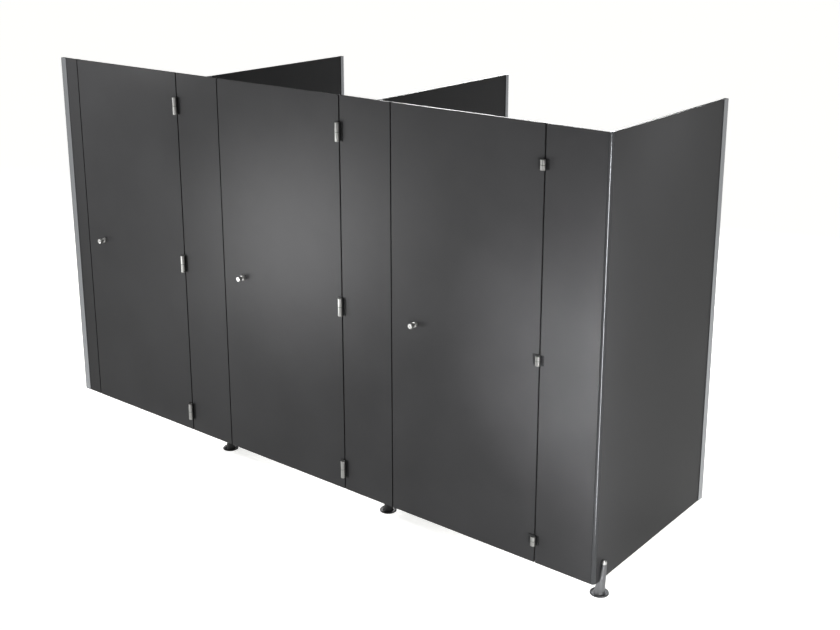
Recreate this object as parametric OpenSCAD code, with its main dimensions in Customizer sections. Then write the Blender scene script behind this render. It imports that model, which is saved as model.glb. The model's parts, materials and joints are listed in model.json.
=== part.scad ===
// Row of three shower cubicles in compact laminate, fixed to a back wall and a side wall.
// Built in millimetres from the corner where the side wall, the front face and the floor meet:
// X runs along the front, Y runs back to the wall and Z runs up.
// The finished row is then moved so that its origin lies under the middle of its bounding box.

/* [Row] */
// Height from the floor to the top of the panels
total_h = 2000; // [1800:10:2200]
// Gap between the floor and the panels
floor_gap = 65; // [50:1:150]
// Depth from the front face to the back wall
row_depth = 1000; // [800:10:1500]
// Fixed strip from the side wall to the first door's joint
filler_w = 135; // [120:1:400]
// Door, from joint to joint
door_w = 800; // [600:5:900]
// Fixed front panel on the right of each door, from joint to joint
pilaster_w = 300; // [220:5:500]
// Middle of a partition, from the door joint on its right
partition_setback = 78; // [58:1:100]

/* [Panels] */
// Thickness of the compact laminate
panel_t = 13; // [12:0.5:16]
// Bevel along the upright edges of the panels
edge_bevel = 1.5; // [0.5:0.1:3]
// Gap beside a door on its closing side
lock_gap = 4; // [3:0.5:6]
// Gap beside a door on its hinge side
hinge_gap = 5; // [4:0.5:8]

/* [Channels] */
// Depth of the channels beside the filler strip and behind the end panel
channel_depth = 40; // [30:1:60]
// Depth of the small channels along both edges of a partition
small_channel_depth = 22; // [18:1:30]
// Wall of the channels
channel_wall = 2; // [1.5:0.5:3]
// Clearance between a channel and each face of its panel
channel_slip = 0.4; // [0.2:0.1:1]
// Space between a deep channel's web and the panel's edge
wall_play = 10; // [6:1:15]
// Space between a small channel's web and the partition's edge
small_play = 3.5; // [3:0.5:6]
// Radius of the holes for the wall screws
wall_hole_r = 3; // [2.5:0.5:4]
// Outermost wall screws, from the ends of the channel
wall_hole_inset = 120; // [80:10:300]
// Distance between the two inner wall screws
wall_hole_inner = 560; // [300:10:700]

/* [Corner profile] */
// Outer radius of the rounded corner
corner_r = 15; // [14.5:0.5:20]
// Wall of the corner profile
corner_wall = 2; // [1.5:0.5:3]
// Length of the flanges behind the panels
corner_flange = 16; // [14:1:18]

/* [Door stops] */
// Width of the stop on the fixed panel
stop_base = 18; // [12:1:20]
// Lap of the stop behind the door
stop_lap = 12; // [8:1:20]
// Thickness of the stop
stop_t = 3; // [2:0.5:4]
// Relief between the stop's lip and the door
stop_relief = 0.3; // [0.3:0.1:1]

/* [Hinges] */
// Height of the hinges of each door
hinge_h = [88, 88, 44]; // [42:1:140]
// Lowest hinge's middle, from the bottom edge of the door
hinge_low = 110; // [90:5:250]
// Highest hinge's middle, from the top edge of the door
hinge_high = 165; // [90:5:250]
// Outer radius of the hinge barrels
barrel_r = 11; // [10:0.5:13]
// Wall of the bright sleeves
sleeve_wall = 1; // [0.8:0.1:1.5]
// Radius of the hinge pins
pin_r = 4; // [3:0.5:5]
// Radial running clearance of the hinge pins
pin_fit = 0.05; // [0.03:0.01:0.1]
// Gap between the two halves of a barrel
knuckle_gap = 2; // [1.5:0.1:3]
// Thickness of the leaves
leaf_t = 3; // [2.5:0.5:4]
// Clearance between a leaf and the other half's barrel
leaf_clear = 0.5; // [0.4:0.1:1]
// Width of the leaves on each door, from the axis
door_leaf_w = [24, 24, 31]; // [24:1:40]
// Width of the leaves on the fixed panels, from the axis
frame_leaf_w = [20, 20, 20]; // [20:1:40]

/* [Screws] */
// Head radius of the small screws
screw_head_r = 3.4; // [3:0.1:4]
// Head height of the small screws
screw_head_h = 1.6; // [1.2:0.1:2]
// Shank radius of the small screws
screw_r = 2; // [1.5:0.1:2.5]
// Depth that the small screws reach into a panel
screw_bite = 9; // [6:0.5:10]
// Clearance of the small screws in their holes
screw_fit = 0.15; // [0.1:0.05:0.3]

/* [Knobs and latches] */
// Height of the knob above the floor
knob_h = 1015; // [900:5:1100]
// Middle of the knob, from the door joint on its left
knob_inset = 140; // [100:5:200]
// Radius of the knob's head
knob_r = 13; // [12:0.5:20]
// Distance of the knob's front from the door
knob_reach = 42; // [36:1:60]
// Length of the knob's head
knob_head_l = 16; // [12:1:20]
// Radius of the knob's collar against the door
collar_r = 12.5; // [11:0.5:18]
// Length of the knob's collar
collar_l = 13; // [8:1:16]
// Radius of the knob's neck
knob_neck_r = 8.5; // [7:0.5:10]
// Radius of the knob's shank inside the door
shank_r = 7; // [6:0.5:8]
// Radius of the latch spindle
spindle_r = 4; // [3:0.5:5]
// Width of the latch bar
bar_w = 25; // [20:1:32]
// Thickness of the latch bar
bar_t = 5; // [4:0.5:6]
// Reach of the latch bar behind the fixed panel
bar_lap = 34; // [28:1:36]
// Radius of the inner turn
turn_r = 15; // [12:0.5:20]
// Thickness of the inner turn's disc
turn_disc = 6; // [4:0.5:8]
// Height of the inner turn's grip
turn_grip_h = 18; // [12:1:24]
// Thickness of the inner turn's grip
turn_grip_t = 11; // [11:0.5:14]

/* [Feet] */
// Radius of a foot's round base
foot_base_r = 41; // [35:1:50]
// Height of the base's rim
foot_base_h = 6; // [5:0.5:8]
// Middle of a foot, from the front face
foot_setback = 60; // [50:1:80]
// Radius of the post where it meets the base
post_low_r = 23.5; // [18:0.5:26]
// Radius of the post at its top
post_top_r = 11; // [9:0.5:13]
// Reach of a foot's cap above the bottom edge of its panel
post_rise = 98; // [75:1:115]
// Length of the straight part of the cap
cap_skirt = 8; // [6:0.5:12]
// Clearance between a post and its panel
post_fit = 0.3; // [0.2:0.1:0.6]
// Radius of the threaded stem inside a foot
stem_r = 6; // [5:0.5:7]
// Radius of the clamp screw through the panel
clamp_r = 3.5; // [3:0.5:4]
// Height of the clamp screw above the bottom edge of its panel
clamp_rise = 32; // [28:1:45]
// Radius of the two floor screw holes in a base
base_hole_r = 2.5; // [2:0.5:3]

/* [Hidden] */

DOORS = 3;
LAMINATE = "#3d3e40";
ALUMINIUM = "#b9bbbd";
STAINLESS = "#a9abad";
BLACK = "#1c1c1d";
EPS = 0.01;
ROUND = 48;

panel_h = total_h - floor_gap;
bay = door_w + pilaster_w;
row_len = filler_w + DOORS * bay;
function lock_x(i) = filler_w + i * bay;
function hinge_x(i) = lock_x(i) + door_w;
function partition_x(i) = lock_x(i + 1) - partition_setback;
end_x = row_len - panel_t / 2;
foot_x = [partition_x(0), partition_x(1), end_x];

channel_out = panel_t / 2 + channel_slip + channel_wall;
function wall_holes(h) = [
    wall_hole_inset, (h - wall_hole_inner) / 2, (h + wall_hole_inner) / 2, h - wall_hole_inset
];

// Heights of the screws that hold panels in their channels, from the bottom edge of the panels
screw_inset = 110;
SCREW_ROWS = 4;
// Screws of a leg, from the channel's mouth, and how much higher the screws round a corner sit
leg_screw_inset = 10;
screw_stagger = 20;
// The panel screws end this far before the bottom of their holes
screw_tip = 1;
function screw_rows() = [
    for (k = [0 : SCREW_ROWS - 1]) screw_inset + k * (panel_h - 2 * screw_inset) / (SCREW_ROWS - 1)
];

// Hinges: the core of each half runs in a bright sleeve and carries its leaf on an arm
axis_y = -(leaf_t + leaf_clear + barrel_r);
function hinge_z(k) =
    floor_gap + [hinge_low, (hinge_low + panel_h - hinge_high) / 2, panel_h - hinge_high][k];
core_fit = 0.15;
core_r = barrel_r - sleeve_wall - core_fit;
sleeve_end = 1.5;
arm_w = 8;
leaf_gap = 1;
washer_clear = 0.3;
pin_end_gap = 2;
leaf_screw_span = 0.3;

// Latches: the bar turns behind the door stop and swings up against the keeper's ledge
latch_air = 1;
bar_y = panel_t + stop_relief + stop_t + latch_air;
knob_room = 0.3;
shoulder_r = 8;
keeper_x = stop_base + 2;
keeper_w = bar_lap - stop_base + 6;
keeper_lip = 3;
keeper_ledge = 4;
keeper_h = 40;
keeper_screw_rise = [13, 30];
keeper_sink = screw_head_h + 0.2;
knob_soft = 1.5;
knob_edge = 4;
shank_l = panel_t - 1;
turn_y = bar_y + bar_t;
grip_cover = 6;
spindle_end = turn_y + turn_disc + turn_grip_h - grip_cover;

// Feet: a stem stands in the base and the post, and a clamp screw holds the post to its panel
clamp_head_r = 7;
clamp_head_h = 4;
stem_foot = 1.5;
stem_l = floor_gap - 10;
base_hole_x = post_low_r + base_hole_r + 3.5;
base_top = foot_base_h - 2;
cap_base = floor_gap + post_rise - post_top_r - cap_skirt;
post_lean = panel_t / 2 + post_top_r + post_fit;

// Bounding box, which sets the origin
box_x = [0, max(row_len + channel_out - panel_t / 2, end_x + max(foot_base_r, post_lean + post_top_r))];
box_y = [-max(knob_reach, barrel_r - axis_y), row_depth];

module placed() {
    translate([-(box_x[0] + box_x[1]) / 2, -(box_y[0] + box_y[1]) / 2, 0]) children();
}

// A laminate slab standing on the panels' bottom line, with bevelled upright edges
module slab(x0, x1, y0, y1) {
    b = edge_bevel;
    translate([0, 0, floor_gap])
        linear_extrude(panel_h)
            polygon([
                [x0 + b, y0], [x1 - b, y0], [x1, y0 + b], [x1, y1 - b],
                [x1 - b, y1], [x0 + b, y1], [x0, y1 - b], [x0, y0 + b]
            ]);
}

// A small screw: its head lies on z = 0 and its shank points down
module small_screw(length) {
    cylinder(r = screw_head_r, h = screw_head_h, $fn = ROUND);
    translate([0, 0, -length])
        cylinder(r = screw_r, h = length + EPS, $fn = ROUND);
}

module screw_hole(length) {
    translate([0, 0, -length - 1])
        cylinder(r = screw_r + screw_fit, h = length + 2, $fn = ROUND);
}

// U-shaped channel: its web lies on x = 0, its mouth opens towards +X and it is centred on y = 0
module channel(depth) {
    translate([0, 0, floor_gap])
        linear_extrude(panel_h)
            difference() {
                translate([0, -channel_out]) square([depth, 2 * channel_out]);
                translate([channel_wall, -channel_out + channel_wall])
                    square([depth, 2 * (channel_out - channel_wall)]);
            }
}

// Wall channel, with holes for the wall screws and for the screws that hold its panel
module wall_channel(depth) {
    difference() {
        channel(depth);
        for (z = wall_holes(panel_h))
            translate([-1, 0, floor_gap + z])
                rotate([0, 90, 0]) cylinder(r = wall_hole_r, h = channel_wall + 2, $fn = ROUND);
        leg_screws(depth) screw_hole(screw_bite + channel_wall);
    }
}

// Places a screw on the channel's +Y leg at each height
module leg_screws(depth) {
    for (z = screw_rows())
        translate([depth - leg_screw_inset, channel_out, floor_gap + z])
            rotate([-90, 0, 0]) children();
}

// Places a screw in the channel's web at each height, from inside
module web_screws() {
    for (z = screw_rows())
        translate([channel_wall, 0, floor_gap + z + screw_stagger])
            rotate([0, 90, 0]) children();
}

module at_left_channel() {
    translate([0, panel_t / 2, 0]) children();
}

// The back channels open forwards, with their +Y leg turned to face -X
module at_back_channel(x) {
    translate([x, row_depth, 0]) rotate([0, 0, -90]) mirror([0, 1, 0]) children();
}

// The front channels open backwards from the rear face of a pilaster
module at_front_channel(x) {
    translate([x, panel_t, 0]) rotate([0, 0, 90]) children();
}

// Panel screws of all channels and of the corner profile's flanges
module all_panel_screws() {
    at_left_channel() leg_screws(channel_depth) children();
    at_back_channel(end_x) leg_screws(channel_depth) children();
    for (i = [0 : 1]) {
        at_back_channel(partition_x(i)) leg_screws(small_channel_depth) children();
        at_front_channel(partition_x(i)) leg_screws(small_channel_depth) children();
        at_front_channel(partition_x(i)) web_screws() children();
    }
    corner_screws() children();
    keeper_screws() children();
}

module corner_screws() {
    for (z = screw_rows()) {
        translate([row_len - corner_r - corner_flange / 2, panel_t + corner_wall, floor_gap + z])
            rotate([-90, 0, 0]) children();
        translate([
            row_len - panel_t - corner_wall, corner_r + corner_flange / 2, floor_gap + z + screw_stagger
        ])
            rotate([0, -90, 0]) children();
    }
}

module panel_with_screw_holes() {
    difference() {
        children();
        all_panel_screws() screw_hole(screw_bite);
    }
}

module wall_channel_left() {
    color(ALUMINIUM) placed() at_left_channel() wall_channel(channel_depth);
}

module filler_panel() {
    color(LAMINATE) placed() panel_with_screw_holes()
        slab(channel_wall + wall_play, lock_x(0) - lock_gap / 2, 0, panel_t);
}

// Fixed front panel number i, with its hinge screw holes
module pilaster(i) {
    x1 = i < DOORS - 1 ? lock_x(i + 1) - lock_gap / 2 : row_len - corner_r - post_fit;
    color(LAMINATE) placed() difference() {
        panel_with_screw_holes() slab(hinge_x(i) + hinge_gap / 2, x1, 0, panel_t);
        leaf_screws(i, 1) screw_hole(screw_bite);
    }
}

// Rounded aluminium corner with a flange behind each of the two panels
module corner_profile() {
    inner = corner_r - corner_wall;
    color(ALUMINIUM) placed() difference() {
        translate([row_len, 0, floor_gap])
            linear_extrude(panel_h) {
                translate([-corner_r, corner_r]) difference() {
                    circle(r = corner_r, $fn = 2 * ROUND);
                    circle(r = inner, $fn = 2 * ROUND);
                    translate([-corner_r - 1, -corner_r - 1]) square([corner_r + 1, 2 * corner_r + 2]);
                    translate([-corner_r - 1, 0]) square([2 * corner_r + 2, corner_r + 1]);
                }
                translate([-corner_r - corner_flange, panel_t])
                    square([corner_flange + corner_wall, corner_wall]);
                translate([-panel_t - corner_wall, panel_t])
                    square([corner_wall, corner_r + corner_flange - panel_t]);
                translate([-corner_r, 0]) square([corner_wall, panel_t + corner_wall]);
                translate([-panel_t - corner_wall, corner_r - corner_wall])
                    square([panel_t + corner_wall, corner_wall]);
            }
        corner_screws() screw_hole(screw_bite);
    }
}

module end_panel() {
    color(LAMINATE) placed() difference() {
        panel_with_screw_holes()
            slab(row_len - panel_t, row_len, corner_r + post_fit, row_depth - channel_wall - wall_play);
        clamp_hole(2);
    }
}

module partition(i) {
    x = partition_x(i);
    color(LAMINATE) placed() difference() {
        panel_with_screw_holes()
            slab(x - panel_t / 2, x + panel_t / 2,
                panel_t + channel_wall + small_play, row_depth - channel_wall - small_play);
        clamp_hole(i);
    }
}

module end_wall_channel() {
    color(ALUMINIUM) placed() at_back_channel(end_x) wall_channel(channel_depth);
}

module partition_wall_channel(i) {
    color(ALUMINIUM) placed() at_back_channel(partition_x(i)) wall_channel(small_channel_depth);
}

module partition_front_channel(i) {
    color(ALUMINIUM) placed() difference() {
        at_front_channel(partition_x(i)) channel(small_channel_depth);
        at_front_channel(partition_x(i)) leg_screws(small_channel_depth) screw_hole(screw_bite);
        at_front_channel(partition_x(i)) web_screws() screw_hole(screw_bite);
        foot_room(i);
    }
}

// Space that a foot's base and post need beside its panel
module foot_room(i) {
    translate([foot_x[i] - foot_base_r, foot_setback - post_low_r - post_fit, 0])
        cube([2 * foot_base_r, 2 * (post_low_r + post_fit), floor_gap + post_rise + 2]);
}

// Flat stop behind the closing edge of a door, with a relieved lip
module door_stop(i) {
    color(BLACK) placed()
        translate([lock_x(i) - lock_gap / 2, panel_t, floor_gap])
            linear_extrude(panel_h)
                polygon([
                    [-stop_base, 0], [0, 0], [0, stop_relief], [lock_gap + stop_lap, stop_relief],
                    [lock_gap + stop_lap, stop_t + stop_relief], [-stop_base, stop_t + stop_relief]
                ]);
}

// Angles behind the fixed panels: the latch bar swings up behind the panel, against the ledge
module latch_keepers() {
    plate_t = bar_y - panel_t - knob_room;
    color(STAINLESS) placed() difference() {
        for (i = [0 : DOORS - 1])
            translate([
                lock_x(i) - lock_gap / 2 - keeper_x - keeper_w, panel_t, knob_h + bar_w / 2 + latch_air / 2
            ]) {
                cube([keeper_w, plate_t, keeper_h]);
                cube([keeper_w, plate_t + bar_t + keeper_lip, keeper_ledge]);
            }
        keeper_screws() countersunk_hole();
    }
}

// The keeper screws are let into the plates, above the ledge
module keeper_screws() {
    for (i = [0 : DOORS - 1])
        for (rise = keeper_screw_rise)
            translate([
                lock_x(i) - lock_gap / 2 - keeper_x - keeper_w / 2,
                bar_y - knob_room - keeper_sink, knob_h + bar_w / 2 + latch_air / 2 + rise
            ])
                rotate([-90, 0, 0]) children();
}

// Places the two screws of each leaf: side is -1 on the door and 1 on the fixed panel
module leaf_screws(i, side) {
    w = side < 0 ? door_leaf_w[i] : frame_leaf_w[i];
    for (k = [0 : 2])
        for (up = [-1, 1])
            translate([
                hinge_x(i) + side * (w + barrel_r) / 2, -leaf_t + screw_head_h,
                hinge_z(k) + up * hinge_h[i] * leaf_screw_span
            ])
                rotate([90, 0, 0]) children();
}

// One half of a hinge, with its leaf, arm and bored core: side is -1 for the door's upper half
module hinge_half(i, side) {
    w = side < 0 ? door_leaf_w[i] : frame_leaf_w[i];
    half = (hinge_h[i] - knuckle_gap) / 2;
    z0 = side < 0 ? knuckle_gap / 2 : -knuckle_gap / 2 - half;
    core_z = side < 0 ? z0 : z0 + sleeve_end + core_fit;
    core_h = half - sleeve_end - core_fit;
    leaf_x = side < 0 ? -w : leaf_gap;
    arm_x = side < 0 ? -arm_w : leaf_gap;
    difference() {
        union() {
            translate([leaf_x, -leaf_t, -hinge_h[i] / 2]) cube([w - leaf_gap, leaf_t, hinge_h[i]]);
            translate([arm_x, axis_y, core_z]) cube([arm_w - leaf_gap, -axis_y - leaf_t + EPS, core_h]);
            translate([0, axis_y, core_z]) cylinder(r = core_r, h = core_h, $fn = ROUND);
        }
        translate([0, axis_y, core_z - 1]) cylinder(r = pin_r + pin_fit, h = core_h + 2, $fn = ROUND);
    }
}

module hinge_frame_leaves() {
    color(BLACK) placed() difference() {
        for (i = [0 : DOORS - 1]) for (k = [0 : 2])
            translate([hinge_x(i), 0, hinge_z(k)]) hinge_half(i, 1);
        for (i = [0 : DOORS - 1]) leaf_screws(i, 1) countersunk_hole();
    }
}

module hinge_door_leaves(i) {
    color(BLACK) placed() difference() {
        for (k = [0 : 2]) translate([hinge_x(i), 0, hinge_z(k)]) hinge_half(i, -1);
        leaf_screws(i, -1) countersunk_hole();
    }
}

// Hole that takes a small screw with its head sunk in a plate or leaf
module countersunk_hole() {
    screw_hole(screw_bite);
    cylinder(r = screw_head_r + screw_fit, h = 2 * screw_head_h, $fn = ROUND);
}

// Bright sleeve closed at its outer end, open at z = 0 and slotted for the arm
module sleeve(half, side) {
    soft = 1;
    difference() {
        rotate_extrude($fn = ROUND)
            polygon([
                [barrel_r - sleeve_wall, 0], [barrel_r, 0], [barrel_r, half - soft], [barrel_r - soft, half],
                [0, half], [0, half - sleeve_end], [barrel_r - sleeve_wall, half - sleeve_end]
            ]);
        translate([
            side < 0 ? -arm_w - core_fit : leaf_gap - core_fit, barrel_r / 2, -1
        ])
            cube([arm_w - leaf_gap + 2 * core_fit, barrel_r, half - sleeve_end + 1]);
    }
}

module hinge_upper_sleeves(i) {
    half = (hinge_h[i] - knuckle_gap) / 2;
    color(STAINLESS) placed() for (k = [0 : 2])
        translate([hinge_x(i), axis_y, hinge_z(k) + knuckle_gap / 2]) sleeve(half, -1);
}

module hinge_lower_sleeves() {
    color(STAINLESS) placed() for (i = [0 : DOORS - 1]) for (k = [0 : 2])
        translate([hinge_x(i), axis_y, hinge_z(k) - knuckle_gap / 2])
            mirror([0, 0, 1]) sleeve((hinge_h[i] - knuckle_gap) / 2, 1);
}

module hinge_pins() {
    color(STAINLESS) placed() for (i = [0 : DOORS - 1]) for (k = [0 : 2])
        translate([hinge_x(i), axis_y, hinge_z(k) - hinge_h[i] / 2 + sleeve_end + core_fit])
            cylinder(r = pin_r, h = hinge_h[i] - 2 * (sleeve_end + core_fit) - pin_end_gap, $fn = ROUND);
}

module hinge_washers() {
    color(BLACK) placed() for (i = [0 : DOORS - 1]) for (k = [0 : 2])
        translate([hinge_x(i), axis_y, hinge_z(k) - knuckle_gap / 2]) difference() {
            cylinder(r = core_r, h = knuckle_gap - washer_clear, $fn = ROUND);
            translate([0, 0, -1]) cylinder(r = pin_r + 2 * pin_fit, h = knuckle_gap + 2, $fn = ROUND);
        }
}

module frame_hinge_screws() {
    color(BLACK) placed() for (i = [0 : DOORS - 1])
        leaf_screws(i, 1) small_screw(screw_bite);
}

module door_hinge_screws(i) {
    color(BLACK) placed() leaf_screws(i, -1) small_screw(screw_bite);
}

module channel_screws() {
    color(STAINLESS) placed() all_panel_screws() small_screw(screw_bite - screw_tip);
}

module door_panel(i) {
    color(LAMINATE) placed() difference() {
        slab(lock_x(i) + lock_gap / 2, hinge_x(i) - hinge_gap / 2, 0, panel_t);
        leaf_screws(i, -1) screw_hole(screw_bite);
        at_knob(i) translate([0, 0, -panel_t - 1])
            cylinder(r = shank_r + screw_fit, h = panel_t + 2, $fn = ROUND);
    }
}

// Puts a turned piece on the knob's axis, with its z pointing out of the door's face
module at_knob(i) {
    translate([lock_x(i) + knob_inset, 0, knob_h]) rotate([90, 0, 0]) children();
}

// Turned knob with its collar and a hollow shank for the spindle
module pull_knob(i) {
    bore = spindle_r + knob_room;
    neck_z = knob_reach - knob_head_l;
    color(STAINLESS) placed() at_knob(i)
        rotate_extrude($fn = ROUND)
            polygon(concat(
                [[bore, -shank_l], [shank_r, -shank_l], [shank_r, 0], [collar_r, 0]],
                [[collar_r, collar_l - knob_soft], [collar_r - knob_soft, collar_l], [knob_neck_r, collar_l]],
                [[knob_neck_r, neck_z], [knob_r - knob_soft, neck_z], [knob_r, neck_z + knob_soft]],
                [for (a = [0 : 15 : 90])
                    [knob_r + knob_edge * (cos(a) - 1), knob_reach + knob_edge * (sin(a) - 1)]],
                [[bore, knob_reach]]
            ));
}

// Spindle from the knob's face to the inner turn, with a shoulder between the door and the latch bar
// and a release slot in its outer end
module latch_spindle(i) {
    slot_w = 1.4;
    color(STAINLESS) placed() at_knob(i) difference() {
        union() {
            translate([0, 0, -spindle_end])
                cylinder(r = spindle_r, h = spindle_end + knob_reach - 1, $fn = ROUND);
            translate([0, 0, -bar_y])
                cylinder(r = shoulder_r, h = bar_y - panel_t - knob_room, $fn = ROUND);
        }
        translate([-slot_w / 2, -spindle_r - 1, knob_reach - 2.5]) cube([slot_w, 2 * spindle_r + 2, 3]);
    }
}

// Flat latch bar that hangs down from the spindle when unlocked
module latch_bar(i) {
    length = knob_inset + lock_gap / 2 + bar_lap - bar_w / 2;
    color(STAINLESS) placed() at_knob(i) difference() {
        union() {
            translate([-bar_w / 2, -length, -turn_y]) cube([bar_w, length, bar_t]);
            for (y = [-length, 0])
                translate([0, y, -turn_y]) cylinder(r = bar_w / 2, h = bar_t, $fn = ROUND);
        }
        translate([0, 0, -turn_y - 1]) cylinder(r = spindle_r + core_fit, h = bar_t + 2, $fn = ROUND);
    }
}

// Inner turn: a disc with a flat grip, on the end of the spindle
module thumb_turn(i) {
    color(STAINLESS) placed() at_knob(i) difference() {
        union() {
            translate([0, 0, -turn_y - turn_disc]) cylinder(r = turn_r, h = turn_disc, $fn = ROUND);
            intersection() {
                translate([0, 0, -turn_y - turn_disc - turn_grip_h])
                    cylinder(r = turn_r, h = turn_grip_h + EPS, $fn = ROUND);
                translate([-turn_grip_t / 2, -turn_r, -turn_y - turn_disc - turn_grip_h])
                    cube([turn_grip_t, 2 * turn_r, turn_grip_h + EPS]);
            }
        }
        translate([0, 0, -spindle_end - core_fit])
            cylinder(r = spindle_r + core_fit, h = spindle_end, $fn = ROUND);
    }
}

// Places a piece on the floor under the middle of panel i's foot
module at_foot(i) {
    translate([foot_x[i], foot_setback, 0]) children();
}

// Dished round base with a raised rim and two floor screw holes
module foot_base(i) {
    rim = foot_base_r;
    color(i < 2 ? BLACK : STAINLESS) placed() at_foot(i) difference() {
        rotate_extrude($fn = 2 * ROUND)
            polygon([
                [0, 0], [rim, 0], [rim, foot_base_h - 3], [rim - 1, foot_base_h - 1], [rim - 3, foot_base_h],
                [rim - 6, foot_base_h - 0.6], [rim - 8, base_top], [0, base_top]
            ]);
        translate([0, 0, stem_foot]) cylinder(r = stem_r + core_fit, h = base_top, $fn = ROUND);
        for (side = [-1, 1])
            translate([0, side * base_hole_x, -1])
                cylinder(r = base_hole_r, h = foot_base_h + 2, $fn = ROUND);
    }
}

// Tapered post: its ledge carries the bottom edge of the panel and its top leans on the outer face
module foot_post(i) {
    color(i < 2 ? BLACK : STAINLESS) placed() at_foot(i) difference() {
        hull() {
            translate([0, 0, base_top]) cylinder(r = post_low_r, h = 1, $fn = 32);
            translate([post_lean, 0, cap_base - 1]) cylinder(r = post_top_r, h = 1, $fn = 32);
        }
        translate([-2 * post_low_r, -2 * post_low_r, floor_gap])
            cube([panel_t / 2 + post_fit + 2 * post_low_r, 4 * post_low_r, panel_h]);
        translate([0, 0, base_top - 1]) cylinder(r = stem_r + core_fit, h = stem_l, $fn = ROUND);
        translate([0, 0, floor_gap + clamp_rise]) rotate([0, 90, 0])
            cylinder(r = clamp_r + screw_fit, h = panel_t / 2 + post_top_r, $fn = ROUND);
    }
}

// Polished domed cap on top of the post
module foot_cap(i) {
    r = post_top_r;
    color(i < 2 ? BLACK : STAINLESS) placed() at_foot(i)
        translate([post_lean, 0, cap_base])
            rotate_extrude($fn = ROUND)
                polygon(concat(
                    [[0, 0], [r, 0]],
                    [for (a = [0 : 9 : 90]) [r * cos(a), cap_skirt + r * sin(a)]]
                ));
}

module foot_stems() {
    color(STAINLESS) placed() for (i = [0 : 2]) at_foot(i)
        translate([0, 0, stem_foot]) cylinder(r = stem_r, h = stem_l, $fn = ROUND);
}

module clamp_hole(i) {
    at_foot(i) translate([-panel_t, 0, floor_gap + clamp_rise]) rotate([0, 90, 0])
        cylinder(r = clamp_r + screw_fit, h = 2 * panel_t, $fn = ROUND);
}

// Clamp screws from inside the cubicle, through the panel and into the post
module foot_clamp_screws() {
    color(STAINLESS) placed() for (i = [0 : 2]) at_foot(i)
        translate([-panel_t / 2, 0, floor_gap + clamp_rise]) rotate([0, 90, 0]) {
            translate([0, 0, -clamp_head_h]) cylinder(r = clamp_head_r, h = clamp_head_h, $fn = ROUND);
            translate([0, 0, -EPS]) cylinder(r = clamp_r, h = panel_t + post_top_r - 1, $fn = ROUND);
        }
}

wall_channel_left();
filler_panel();
pilaster(0);  // pilaster_1
pilaster(1);  // pilaster_2
pilaster(2);  // pilaster_3
corner_profile();
end_panel();
end_wall_channel();
partition(0);  // partition_1
partition(1);  // partition_2
partition_wall_channel(0);  // partition_wall_channel_1
partition_wall_channel(1);  // partition_wall_channel_2
partition_front_channel(0);  // partition_front_channel_1
partition_front_channel(1);  // partition_front_channel_2
door_stop(0);  // door_stop_1
door_stop(1);  // door_stop_2
door_stop(2);  // door_stop_3
latch_keepers();
hinge_frame_leaves();
hinge_lower_sleeves();
hinge_pins();
hinge_washers();
frame_hinge_screws();
channel_screws();
foot_base(0);  // foot_base_1
foot_base(1);  // foot_base_2
foot_base(2);  // foot_base_3
foot_post(0);  // foot_post_1
foot_post(1);  // foot_post_2
foot_post(2);  // foot_post_3
foot_cap(0);  // foot_cap_1
foot_cap(1);  // foot_cap_2
foot_cap(2);  // foot_cap_3
foot_stems();
foot_clamp_screws();
door_panel(0);  // door_panel_1
door_panel(1);  // door_panel_2
door_panel(2);  // door_panel_3
hinge_door_leaves(0);  // hinge_door_leaves_1
hinge_door_leaves(1);  // hinge_door_leaves_2
hinge_door_leaves(2);  // hinge_door_leaves_3
hinge_upper_sleeves(0);  // hinge_upper_sleeves_1
hinge_upper_sleeves(1);  // hinge_upper_sleeves_2
hinge_upper_sleeves(2);  // hinge_upper_sleeves_3
door_hinge_screws(0);  // door_hinge_screws_1
door_hinge_screws(1);  // door_hinge_screws_2
door_hinge_screws(2);  // door_hinge_screws_3
pull_knob(0);  // pull_knob_1
pull_knob(1);  // pull_knob_2
pull_knob(2);  // pull_knob_3
latch_spindle(0);  // latch_spindle_1
latch_spindle(1);  // latch_spindle_2
latch_spindle(2);  // latch_spindle_3
thumb_turn(0);  // thumb_turn_1
thumb_turn(1);  // thumb_turn_2
thumb_turn(2);  // thumb_turn_3
latch_bar(0);  // latch_bar_1
latch_bar(1);  // latch_bar_2
latch_bar(2);  // latch_bar_3
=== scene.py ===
"""Dresses the row of shower cubicles and sets it on a pale studio floor.

Every length is in metres and every piece is made where it stands. The boards, channels and hinge
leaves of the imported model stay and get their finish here. The turned and moulded pieces, such as
the knobs, hinge barrels, feet and inner turns, are made again as smooth surfaces.
"""

import json
import math

import bmesh
import bpy
import numpy as np
from bpy.props import (
    FloatProperty, FloatVectorProperty, IntProperty, PointerProperty, StringProperty)
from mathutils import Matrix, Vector


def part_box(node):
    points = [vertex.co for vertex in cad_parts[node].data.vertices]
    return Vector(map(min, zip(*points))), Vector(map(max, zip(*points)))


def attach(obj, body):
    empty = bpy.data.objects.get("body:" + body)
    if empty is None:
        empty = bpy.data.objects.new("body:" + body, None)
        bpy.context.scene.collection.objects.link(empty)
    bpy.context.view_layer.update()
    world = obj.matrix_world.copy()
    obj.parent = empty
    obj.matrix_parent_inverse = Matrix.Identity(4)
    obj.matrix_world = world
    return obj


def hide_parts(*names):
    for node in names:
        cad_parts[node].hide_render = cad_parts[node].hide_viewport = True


bl_info = {
    "name": "Shower cubicle row",
    "version": (1, 0, 0),
    "blender": (4, 5, 0),
    "location": "View3D > Sidebar > Cubicles",
    "description": "Finishes a row of laminate shower cubicles and lights it",
    "category": "Object",
}

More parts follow.
